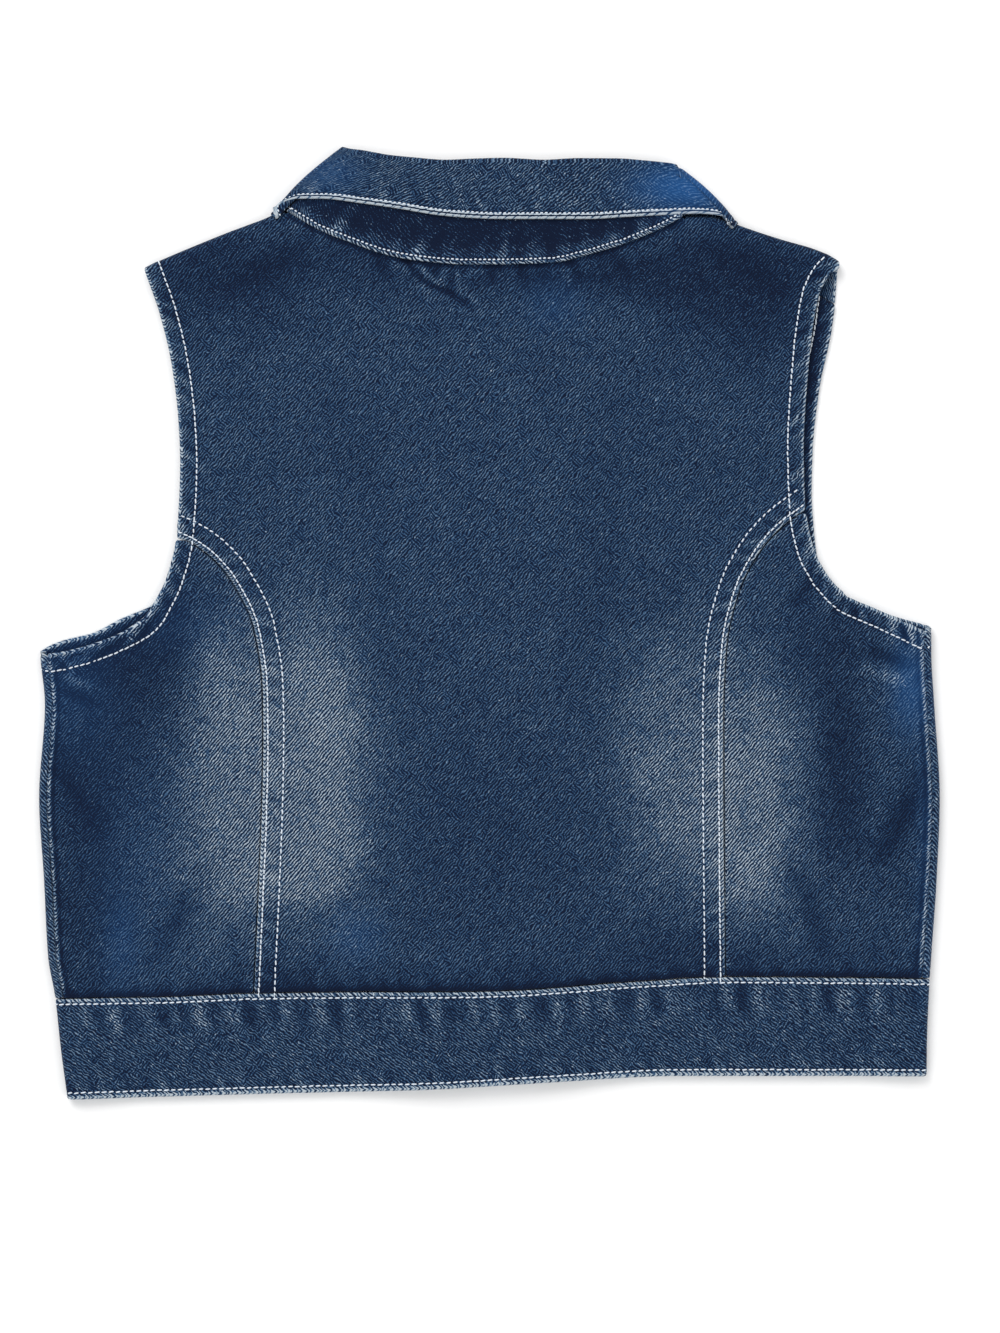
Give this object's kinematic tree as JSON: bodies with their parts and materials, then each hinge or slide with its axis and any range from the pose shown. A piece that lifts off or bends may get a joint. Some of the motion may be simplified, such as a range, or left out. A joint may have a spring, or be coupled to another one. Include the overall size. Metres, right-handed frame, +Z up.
{
  "type": "denim vest",
  "caption": "Cropped sleeveless denim vest laid flat with its back up: folded collar, curved back seams, hemmed armholes and a buttoned front beneath.",
  "frame": {"origin": "middle of the side the vest rests on, at the surface it lies on", "axes": "+Y from the hem to the collar, +X to the wearer's right, +Z up out of the back, away from the surface"},
  "size_m": [0.4044, 0.427, 0.0085],
  "materials": {
    "denim_body": "washed mid-blue denim twill",
    "denim_waistband": "washed mid-blue denim twill, cut across the grain",
    "denim_collar": "washed mid-blue denim twill, cut across the grain",
    "button_metal": "plain dull metal"
  },
  "bodies": {
    "root": {"back_centre": "denim_body", "back_side_left": "denim_body", "back_side_right": "denim_body", "front_left": "denim_body", "front_right": "denim_body", "waistband": "denim_waistband", "collar": "denim_collar", "button_1": "button_metal", "button_2": "button_metal", "button_3": "button_metal", "button_4": "button_metal", "button_5": "button_metal"}
  },
  "joints": []
}
